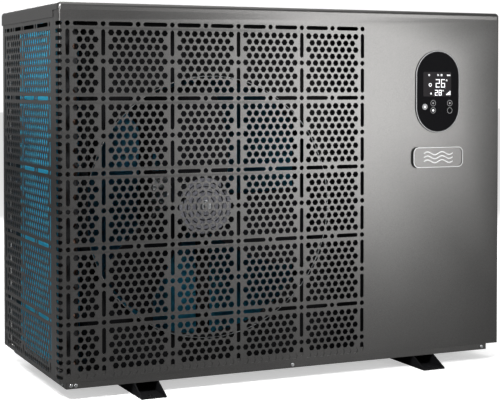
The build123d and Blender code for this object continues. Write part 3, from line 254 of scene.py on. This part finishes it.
def curve_mesh(obj):
    """The mesh of a curve object, which is removed."""
    bpy.context.scene.collection.objects.link(obj)
    mesh = bpy.data.meshes.new_from_object(obj.evaluated_get(bpy.context.evaluated_depsgraph_get()))
    bpy.data.objects.remove(obj)
    return mesh


def join_ring(bm, low, high):
    """Four-sided faces between two closed rows of vertices."""
    count = len(low)
    for n in range(count):
        bm.faces.new((low[n], low[(n + 1) % count], high[(n + 1) % count], high[n]))


def filled(outer, holes, thick):
    """A flat plate with holes, as a bmesh: pattern in x and y, thickness from 0 to thick in z."""
    curve = bpy.data.curves.new("pattern", "CURVE")
    curve.dimensions = "2D"
    curve.fill_mode = "BOTH"
    curve.extrude = thick / 2
    for loop in [outer] + holes:
        spline = curve.splines.new("POLY")
        spline.points.add(len(loop) - 1)
        for point, (x, y) in zip(spline.points, loop):
            point.co = (x, y, 0.0, 1.0)
        spline.use_cyclic_u = True
    obj = bpy.data.objects.new("pattern", curve)
    mesh = curve_mesh(obj)
    bm = bmesh.new()
    bm.from_mesh(mesh)
    bpy.data.curves.remove(curve)
    bpy.data.meshes.remove(mesh)
    bmesh.ops.remove_doubles(bm, verts=bm.verts, dist=0.001)
    bmesh.ops.recalc_face_normals(bm, faces=bm.faces)
    for vert in bm.verts:
        vert.co.z += thick / 2
    return bm


def arc(x, y, radius, start, end, steps):
    """Points of an arc, angles in degrees."""
    return [
        (x + radius * cos(radians(start + (end - start) * n / steps)),
         y + radius * sin(radians(start + (end - start) * n / steps)))
        for n in range(steps + 1)
    ]


def disc(x, y, radius, sides=20):
    """A closed circle."""
    return arc(x, y, radius, 0, 360 - 360 / sides, sides - 1)


def hexagon(x, y, radius):
    """A hexagon with a corner to the left and right."""
    return arc(x, y, radius, 0, 300, 5)


def obround(x, y, length, width, upright=False, steps=7):
    """A slot with round ends."""
    reach, r = (length - width) / 2, width / 2
    if upright:
        return arc(x, y + reach, r, 0, 180, steps) + arc(x, y - reach, r, 180, 360, steps)
    return arc(x + reach, y, r, -90, 90, steps) + arc(x - reach, y, r, 90, 270, steps)


def rounded(x0, x1, y0, y1, r, steps=6):
    """A rectangle with round corners."""
    return (arc(x1 - r, y1 - r, r, 0, 90, steps) + arc(x0 + r, y1 - r, r, 90, 180, steps)
            + arc(x0 + r, y0 + r, r, 180, 270, steps) + arc(x1 - r, y0 + r, r, 270, 360, steps))


def add_box(bm, x0, x1, y0, y1, z0, z1):
    """A box between two corners."""
    for vert in bmesh.ops.create_cube(bm, size=1.0)["verts"]:
        x, y, z = vert.co
        vert.co = Vector((x0 if x < 0 else x1, y0 if y < 0 else y1, z0 if z < 0 else z1))


def perforation(columns, half_first):
    """Loops of every opening of a face. columns are the places of the upright rows of slots."""
    loops = []
    margin_z = (CELL_H - 8 * ROW_PITCH) / 2
    half_length = CELL_H / 2 - 2 * SLOT_END
    for level, rows in enumerate(FIELD_ROWS):
        top = TOP_ROW_Z - level * CELL_H
        for index, (start, end) in enumerate(zip(columns, columns[1:])):
            width, middle = end - start, (start + end) / 2
            half = half_first and index == 0
            across = HALF_ACROSS if half else int((width - 2 * SLOT_END) / HOLE_PITCH) + 1
            margin = (CELL_W - 7 * HOLE_PITCH) / 2 if half else (width - (across - 1) * HOLE_PITCH) / 2
            for row in range(rows):
                for column in range(across if half else across - row % 2):
                    x = start + margin + (column + (row % 2) / 2) * HOLE_PITCH
                    loops.append(hexagon(x, top - margin_z - row * ROW_PITCH, HEX_R))
            if half:
                loops.append(obround(middle, top, width - 2 * SLOT_END, SLOT_W))
                continue
            loops.append(disc(middle, top, DOT_R, 16))
            for x in (middle - width / 4, middle + width / 4):
                loops.append(obround(x, top, width / 2 - 2 * SLOT_END, SLOT_W))
        for column in columns:
            loops += [disc(column, top, DOT_R, 16), disc(column, top - CELL_H / 2, DOT_R, 16)]
            loops.append(obround(column, top - CELL_H / 4, half_length, SLOT_W, True))
            if rows == FIELD_ROWS[0]:
                loops.append(obround(column, top - 3 * CELL_H / 4, half_length, SLOT_W, True))
            else:
                z = top - CELL_H / 2 - SLOT_END - CUT_SLOT / 2
                loops.append(obround(column, z, CUT_SLOT, SLOT_W, True))
    return loops


# ---------------------------------------------------------------- front sheet, bent round both corners
FLAT = CORNER_END - FRONT - BEND_R
ARC = BEND_R * pi / 2
FRONT_START = FLAT + ARC
FRONT_END = FRONT_START + RIGHT - LEFT - 2 * BEND_R
TOTAL = FRONT_END + ARC + FLAT


def unrolled(x):
    """Where a place on the front face lies in the flat pattern."""
    return FRONT_START + x - LEFT - BEND_R


def bent(s, z, t):
    """Pattern place s, height z and depth t from the outer surface, as a point in space."""
    if s > TOTAL / 2:
        point = bent(TOTAL - s, z, t)
        return Vector((LEFT + RIGHT - point.x, point.y, z))
    if s < FLAT:
        return Vector((LEFT + t, CORNER_END - s, z))
    if s < FRONT_START:
        angle, r = (s - FLAT) / BEND_R, BEND_R - t
        return Vector((LEFT + BEND_R - r * cos(angle), FRONT + BEND_R - r * sin(angle), z))
    return Vector((s - FRONT_START + LEFT + BEND_R, FRONT + t, z))


holes = [[(unrolled(x), z) for x, z in loop] for loop in perforation(FRONT_COLUMNS, True)]
SLOT_ON_SIDE, SLOT_ON_FRONT = 24.0, 3.0
slot_from, slot_to = FLAT + BEND_R - SLOT_ON_SIDE, FRONT_START + SLOT_ON_FRONT
slot_middle, slot_length = (slot_from + slot_to) / 2, slot_to - slot_from
for n in range(CORNER_SLOTS):
    holes.append(obround(slot_middle, TOP_ROW_Z - n * CELL_H / 10, slot_length, SLOT_W))
holes.append(obround(unrolled(DISPLAY_X), DISPLAY_Z, *DISPLAY_CUT, True, 24))
outer = rounded(0.0, TOTAL, PANEL_Z, PANEL_TOP, 2.0, 4)
bm = filled(outer, holes, SHEET)
BEND_STEPS = 6
for edge in (FLAT, FRONT_END):
    for n in range(BEND_STEPS + 1):
        cut = Vector((edge + ARC * n / BEND_STEPS, 0, 0))
        everything = bm.verts[:] + bm.edges[:] + bm.faces[:]
        bmesh.ops.bisect_plane(bm, geom=everything, plane_co=cut, plane_no=(1, 0, 0))
for vert in bm.verts:
    vert.co = bent(vert.co.x, vert.co.y, vert.co.z)
TOP_FOLD, TOP_FOLD_ENDS = 14, 10
add_box(bm, LEFT + TOP_FOLD_ENDS, RIGHT - TOP_FOLD_ENDS, FRONT + SHEET, FRONT + TOP_FOLD,
        PANEL_TOP - SHEET, PANEL_TOP)
bmesh.ops.recalc_face_normals(bm, faces=bm.faces)
place("front_sheet", bm, "casing_paint", stands_for=["front_panel", "front_corners"])

# ---------------------------------------------------------------- left side sheet
outer = rounded(SIDE_FRONT, REAR, PANEL_Z, PANEL_TOP, 2.0, 4)
bm = filled(outer, perforation(SIDE_COLUMNS, False), SHEET)
for vert in bm.verts:
    vert.co = Vector((LEFT + vert.co.z, vert.co.x, vert.co.y))
REAR_FLANGE = 16
add_box(bm, LEFT + SHEET, LEFT + REAR_FLANGE, REAR - SHEET, REAR, PANEL_Z, PANEL_TOP)
add_box(bm, LEFT + SHEET, BASE_LEFT, SIDE_FRONT, REAR - SHEET, PANEL_Z, PANEL_Z + SHEET)
bmesh.ops.recalc_face_normals(bm, faces=bm.faces)
place("left_sheet", bm, "casing_paint", stands_for=["left_side_panel"])

# ---------------------------------------------------------------- evaporator: real fins on copper tubes
(coil_x, coil_y, coil_z0), (coil_x1, coil_y1, coil_z1) = millimetres("evaporator_coil")
THICK = 38.0
BEND_IN, BEND_OUT = 22.0, 60.0
bend_x, bend_y = coil_x + BEND_OUT, coil_y1 - BEND_OUT
FIN, FIN_PITCH, FIN_END = 0.3, 2.4, 1
BEND_FINS = 30
TUBE_R = 4.0
TUBE_ROWS = (9.0, 29.0)
HAIRPINS, HAIRPIN_PITCH, HAIRPIN_HALF, FIRST_HAIRPIN = 14, 50, 12.5, 30
bm = bmesh.new()


def fin(a, b):
    """One fin between plan points a and b, the full height of the coil."""
    along = Vector((b[0] - a[0], b[1] - a[1], 0)).normalized()
    side = Vector((-along.y, along.x, 0)) * FIN / 2
    start, end = Vector((*a, 0)), Vector((*b, 0))
    corners = [start - side, end - side, end + side, start + side]
    low = [bm.verts.new((c.x, c.y, coil_z0)) for c in corners]
    high = [bm.verts.new((c.x, c.y, coil_z1)) for c in corners]
    bm.faces.new(low[::-1])
    bm.faces.new(high)
    join_ring(bm, low, high)


def fin_places(start, end):
    """Even places of the fins along a straight run."""
    run = end - start - 2 * FIN_END
    count = int(run / FIN_PITCH)
    return [start + FIN_END + run * n / count for n in range(count + 1)]


for y in fin_places(coil_y, bend_y):
    fin((coil_x, y), (coil_x + THICK, y))
for n in range(1, BEND_FINS):
    a = radians(180 - 90 * n / BEND_FINS)
    fin(*[(bend_x + r * cos(a), bend_y + r * sin(a)) for r in (BEND_OUT, BEND_IN)])
for x in fin_places(bend_x, coil_x1):
    fin((x, coil_y1), (x, coil_y1 - THICK))
place("coil_fins", bm, "blue_fin", stands_for=["evaporator_coil"], smooth=0)

tubes = bpy.data.curves.new("coil_tubes", "CURVE")
tubes.dimensions = "3D"
tubes.bevel_depth = TUBE_R * MM
tubes.bevel_resolution = 2
for row in TUBE_ROWS:
    for n in range(HAIRPINS):
        for half in (-HAIRPIN_HALF, HAIRPIN_HALF):
            z = coil_z0 + FIRST_HAIRPIN + n * HAIRPIN_PITCH + half
            bend = arc(bend_x, bend_y, BEND_OUT - row, 180, 90, 6)
            path = [(coil_x + row, coil_y)] + bend + [(coil_x1, coil_y1 - row)]
            spline = tubes.splines.new("POLY")
            spline.points.add(len(path) - 1)
            for point, (x, y) in zip(spline.points, path):
                point.co = (x * MM, y * MM, z * MM, 1.0)
tube_mesh = curve_mesh(bpy.data.objects.new("coil_tubes_curve", tubes))
tube_piece = bpy.data.objects.new("coil_tubes", tube_mesh)
bpy.context.scene.collection.objects.link(tube_piece)
tube_mesh.materials.clear()
tube_mesh.materials.append(FINISHES["copper"])
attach(tube_piece, "casing")

# ---------------------------------------------------------------- fan hub and shroud lip
FAN_X, FAN_Z = LEFT + 351.0, 371.0
HUB_FRONT, HUB_RAISED = -131.0, 0.8
HUB_RINGS, HUB_RING_WIDTH, HUB_SIDES = (60.0, 50.0, 40.0, 30.0, 20.0), 7.5, 48
LIP_R, LIP_SECTION, LIP_Y, LIP_SIDES, LIP_CORNERS = 278.3, 0.8, -165.2, 160, 6
cap = bmesh.new()
for radius in HUB_RINGS:
    inner = radius - HUB_RING_WIDTH
    for n in range(HUB_SIDES):
        a, b = 2 * pi * n / HUB_SIDES, 2 * pi * (n + 1) / HUB_SIDES
        quad = ((radius, a), (radius, b), (inner, b), (inner, a))
        plan = [(FAN_X + r * cos(t), FAN_Z + r * sin(t)) for r, t in quad]
        low = [cap.verts.new((x, HUB_FRONT, z)) for x, z in plan]
        high = [cap.verts.new((x, HUB_FRONT - HUB_RAISED, z)) for x, z in plan]
        cap.faces.new(high)
        cap.faces.new(low[::-1])
        join_ring(cap, low, high)
bmesh.ops.recalc_face_normals(cap, faces=cap.faces)
# the hub rings are lighter grey than the fan's black plastic: painted light for the lit hub behind the
# grille
hub_painted_light = finish("hub_painted_light", (0.2, 0.2, 0.23), 0.4, grain=500, fleck=0.15, bump=0.12)
place("hub_rings", cap, "fan_plastic", body="fan", smooth=0, material=hub_painted_light)

lip = bmesh.new()
loops = []
for n in range(LIP_SIDES):
    a = 2 * pi * n / LIP_SIDES
    section = [2 * pi * k / LIP_CORNERS for k in range(LIP_CORNERS)]
    reach = [(LIP_R + LIP_SECTION * cos(t), LIP_Y + LIP_SECTION * sin(t)) for t in section]
    loops.append([lip.verts.new((FAN_X + r * cos(a), y, FAN_Z + r * sin(a))) for r, y in reach])
for n in range(LIP_SIDES):
    join_ring(lip, loops[n], loops[(n + 1) % LIP_SIDES])
bmesh.ops.recalc_face_normals(lip, faces=lip.faces)
place("shroud_lip", lip, "galvanised", smooth=60)

# ---------------------------------------------------------------- display face
GLASS_FRONT = millimetres("display_glass")[0][1]
MARK = 0.12


def light(name, color, strength):
    """A faintly uneven lit print behind the glass."""
    material = finish(name, color, 0.4, grain=400, fleck=0.04)
    shader = principled(material)
    shader.inputs["Emission Color"].default_value = (*color, 1.0)
    shader.inputs["Emission Strength"].default_value = strength
    return material


def mark(name, loops, material, slot="white_plastic", depth=MARK, base=GLASS_FRONT):
    """Flat marks in front of the place base: loops are (outer, holes) in x and z."""
    bm = bmesh.new()
    for outer, holes in loops:
        part = filled(outer, holes, depth)
        mesh = bpy.data.meshes.new("mark")
        part.to_mesh(mesh)
        part.free()
        bm.from_mesh(mesh)
        bpy.data.meshes.remove(mesh)
    for vert in bm.verts:
        vert.co = Vector((vert.co.x, base - vert.co.z, vert.co.y))
    bmesh.ops.recalc_face_normals(bm, faces=bm.faces)
    place(name, bm, slot, smooth=0, material=material)


SEGMENTS = {"2": "abged", "6": "acdefg", "8": "abcdefg"}


def bar(x0, x1, z0, z1, r):
    """A solid bar with round corners, as a loop without holes."""
    return (rounded(x0, x1, z0, z1, r, 2), [])


def digit(char, x, z, width, height, stroke):
    """A seven-segment digit with its lower left corner at x, z."""
    half = height / 2
    bars = {
        "a": (x, x + width, z + height - stroke, z + height),
        "d": (x, x + width, z, z + stroke),
        "g": (x, x + width, z + half - stroke / 2, z + half + stroke / 2),
        "f": (x, x + stroke, z + half, z + height),
        "b": (x + width - stroke, x + width, z + half, z + height),
        "e": (x, x + stroke, z, z + half),
        "c": (x + width - stroke, x + width, z, z + half),
    }
    gap = stroke * 0.12
    lit = [bars[name] for name in SEGMENTS[char]]
    return [bar(x0 + gap, x1 - gap, z0 + gap, z1 - gap, stroke * 0.2) for x0, x1, z0, z1 in lit]


def ring(x, z, r, stroke, sides=24):
    """A ring on the display, from its middle."""
    x, z = DISPLAY_X + x, DISPLAY_Z + z
    return (disc(x, z, r, sides), [disc(x, z, r - stroke, sides)[::-1]])


def dot(x, z, r, sides):
    """A solid disc on the display, from its middle."""
    return (disc(DISPLAY_X + x, DISPLAY_Z + z, r, sides), [])


lcd_back = light("lcd_back", (0.012, 0.010, 0.012), 0.1)
principled(lcd_back).inputs["Specular IOR Level"].default_value = 0.1
lcd_marks = light("lcd_marks", (0.92, 0.92, 0.94), 0.75)
key_grey = light("key_grey", (0.3, 0.3, 0.31), 0.12)
field = rounded(DISPLAY_X - 38, DISPLAY_X + 35, DISPLAY_Z - 11, DISPLAY_Z + 44, 2.0)
mark("lcd_field", [(field, [])], lcd_back, depth=MARK / 2)

# digits: which, x and z of the lower left corner, width, height, stroke
LARGE, SMALL = (11, 19, 2.4), (8, 13, 1.9)
DIGITS = (("2", -6, 9, LARGE), ("6", 8, 9, LARGE), ("2", -8, -9, SMALL), ("8", 2, -9, SMALL))
# small rings on the readout: x, z, radius, stroke
ICONS = ((23, 25, 2.0, 0.9), (13.5, 2, 1.6, 0.8), (-20, 15, 4.0, 1.5), (-18, -4.5, 2.2, 1.0),
         (-23, 37, 2.2, 0.9), (0.5, 37, 2.2, 0.9), (9.5, 37, 2.4, 1.2))
BAR_WIDTH, BAR_R = 2.2, 0.4
numbers = []
for char, x, z, size in DIGITS:
    numbers += digit(char, DISPLAY_X + x, DISPLAY_Z + z, *size)
numbers += [ring(*icon) for icon in ICONS]
for n in range(4):
    x, z = DISPLAY_X + 22 + 3 * n, DISPLAY_Z - 8
    numbers.append(bar(x, x + BAR_WIDTH, z, z + 3 + 2.2 * n, BAR_R))
for n in range(3):
    x, z = DISPLAY_X + 24 + 3.2 * n, DISPLAY_Z + 35
    numbers.append(bar(x, x + BAR_WIDTH, z, z + 3.4, BAR_R))
mark("lcd_readout", numbers, lcd_marks)

KEY_R = 6.8
UPPER_KEYS, LOWER_KEYS = [(-12.2, -26), (31.5, -26)], [(-12.2, -42), (31.5, -42.5)]
SIDE_KEY = (-33.8, -34)
keys = [UPPER_KEYS[0], LOWER_KEYS[0], UPPER_KEYS[1], LOWER_KEYS[1]]
mark("touch_keys", [ring(x, z, KEY_R, 0.9) for x, z in keys], key_grey)
mark("touch_dots", [dot(x, z, 2.2, 16) for x, z in UPPER_KEYS] + [dot(*SIDE_KEY, KEY_R, 24)], key_grey)
mark("touch_lamps", [dot(*LOWER_KEYS[0], 2.6, 16), dot(*SIDE_KEY, 2.2, 16)], lcd_marks, depth=2 * MARK)

housing = millimetres("display_housing")
high, wide = housing[1][2] - housing[0][2], housing[1][0] - housing[0][0]
rim, rim_in = [obround(DISPLAY_X, DISPLAY_Z, high - less, wide - less, True, 24) for less in (1.6, 3.8)]
mark("bezel_trim", [(rim, [rim_in[::-1]])], FINISHES["bezel_silver"], slot="bezel_plastic",
     base=housing[0][1])

# ---------------------------------------------------------------- badge: waves, no lettering
BADGE_FACE = FRONT - 4.8
WAVE_LENGTH, WAVE_STEPS, WAVE_HEIGHT, WAVE_HALF = 76, 48, 3.2, 1.3
waves = []
for level in (-9.0, 0.0, 9.0):
    top, bottom = [], []
    for n in range(WAVE_STEPS + 1):
        x = -WAVE_LENGTH / 2 + WAVE_LENGTH * n / WAVE_STEPS
        z = level + WAVE_HEIGHT * sin(x / WAVE_LENGTH * 4 * pi)
        top.append((DISPLAY_X + x, BADGE_Z + z + WAVE_HALF))
        bottom.append((DISPLAY_X + x, BADGE_Z + z - WAVE_HALF))
    waves.append((bottom + top[::-1], []))
mark("badge_waves", waves, FINISHES["white_plastic"], depth=0.8, base=BADGE_FACE)
(badge_x, badge_y, badge_z), (badge_x1, _, badge_z1) = millimetres("badge_plate")
rim, rim_in = [rounded(badge_x + inset, badge_x1 - inset, badge_z + inset, badge_z1 - inset, r, 10)
               for inset, r in ((0.8, 12.5), (2.2, 11.1))]
mark("badge_trim", [(rim, [rim_in[::-1]])], FINISHES["white_plastic"], base=badge_y)

# ---------------------------------------------------------------- floor, light, camera
WHITE = (1.0, 1.0, 1.0, 1.0)
# the floor and the backdrop are pale to the camera, and dimmer to the light that they throw on the unit
bm = bmesh.new()
bmesh.ops.create_grid(bm, x_segments=2, y_segments=2, size=30.0)
mesh = bpy.data.meshes.new("floor")
bm.to_mesh(mesh)
bm.free()
floor = bpy.data.objects.new("floor", mesh)
bpy.context.scene.collection.objects.link(floor)
floor_paint = finish("floor_paint", (0.9, 0.9, 0.9), 0.8, grain=40, fleck=0.01, bump=0.01, wear=0.01)
n = Nodes(floor_paint.node_tree)
pale = principled(floor_paint)
pale.inputs["Emission Color"].default_value = WHITE
pale.inputs["Emission Strength"].default_value = 0.5
dim = n.add("ShaderNodeBsdfDiffuse", Color=(0.2, 0.2, 0.2, 1.0))
n.camera_choice(dim, pale, floor_paint.node_tree.nodes["Material Output"])
mesh.materials.append(floor_paint)

world = bpy.data.worlds.new("studio")
bpy.context.scene.world = world
world.use_nodes = True
world.node_tree.nodes.clear()
n = Nodes(world.node_tree)
out = n.add("ShaderNodeOutputWorld")
dome = n.add("ShaderNodeBackground", Strength=0.4)
seen = n.add("ShaderNodeBackground", Strength=1.05, Color=WHITE)
coords = n.add("ShaderNodeTexCoord")
split = n.add("ShaderNodeSeparateXYZ")
n.join(coords, "Generated", split, "Vector")
sky = n.span(0.0, 0.9, 1.0, 0.45)
n.join(split, "Z", sky, "Value")
n.join(sky, "Result", dome, "Color")
n.camera_choice(dome, seen, out)


def area(name, spot, aim, width, height, power):
    """A soft rectangular light."""
    lamp = bpy.data.lights.new(name, "AREA")
    lamp.shape = "RECTANGLE"
    lamp.size, lamp.size_y, lamp.energy = width, height, power
    obj = bpy.data.objects.new(name, lamp)
    bpy.context.scene.collection.objects.link(obj)
    obj.location = spot
    obj.rotation_euler = (Vector(aim) - Vector(spot)).to_track_quat("-Z", "Y").to_euler()
    return obj


area("key_box", (1.71, -3.02, 0.68), (0.16, -0.2, 0.68), 0.8, 1.25, 32)
area("top_box", (0.2, -0.3, 3.4), (0.2, -0.3, 0.0), 3.4, 3.4, 50)
area("left_box", (-1.1, -0.9, 1.2), (-0.5, -0.05, 0.5), 0.5, 0.5, 28)
area("rear_box", (0.9, 3.0, 1.3), (0.1, 0.2, 0.4), 1.8, 1.2, 60).visible_camera = False

camera = bpy.data.cameras.new("camera")
camera.sensor_width = 36.0
camera.lens = 95.3
camera.shift_y = -0.1554
camera_obj = bpy.data.objects.new("camera", camera)
bpy.context.scene.collection.objects.link(camera_obj)
camera_obj.location = (-1.248, -2.7595, 0.6254)
yaw, pitch = radians(24.41), radians(-1.53)
look = Vector((sin(yaw) * cos(pitch), cos(yaw) * cos(pitch), sin(pitch)))
camera_obj.rotation_euler = look.to_track_quat("-Z", "Y").to_euler()
bpy.context.scene.camera = camera_obj
bpy.context.scene.view_settings.view_transform = "Standard"
